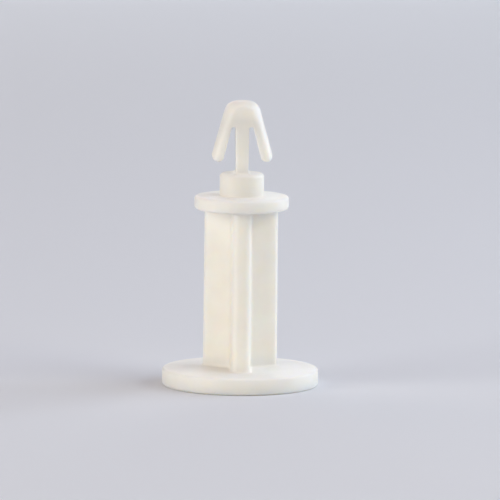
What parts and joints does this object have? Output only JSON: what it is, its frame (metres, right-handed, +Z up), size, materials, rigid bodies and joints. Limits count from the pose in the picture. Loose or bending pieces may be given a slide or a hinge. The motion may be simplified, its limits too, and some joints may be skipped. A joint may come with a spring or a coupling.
{
  "type": "snap-in spacer support",
  "caption": "Round base disc and three-ribbed column with a round flange seat, a shoulder boss and a slotted two-barb arrowhead that snaps through a panel hole.",
  "frame": {"origin": "centre of the base disc's flat underside", "axes": "+Z up along the support's axis towards the arrowhead; the arrowhead lies in the XZ plane; one rib of the column points along -Y"},
  "size_m": [0.0164, 0.0164, 0.03],
  "materials": {
    "natural_nylon": "injection-moulded natural nylon 6/6, creamy white, slightly translucent, satin"
  },
  "bodies": {
    "post": {"base_disc": "natural_nylon", "column_core": "natural_nylon", "front_rib": "natural_nylon", "left_rib": "natural_nylon", "right_rib": "natural_nylon", "top_flange": "natural_nylon", "shoulder_boss": "natural_nylon", "stem": "natural_nylon", "arrow_nose": "natural_nylon"},
    "left_barb": {"left_barb": "natural_nylon"},
    "right_barb": {"right_barb": "natural_nylon"}
  },
  "joints": [
    {"name": "left_barb_flex", "type": "hinge", "parent": "post", "child": "left_barb", "pos_m": [-0.00169, 0, 0.02737], "axis": [0, -1, 0], "range_deg": [0, 15], "stiffness_Nm_per_rad": 0.6},
    {"name": "right_barb_flex", "type": "hinge", "parent": "post", "child": "right_barb", "pos_m": [0.00169, 0, 0.02737], "axis": [0, 1, 0], "range_deg": [0, 15], "stiffness_Nm_per_rad": 0.6}
  ]
}
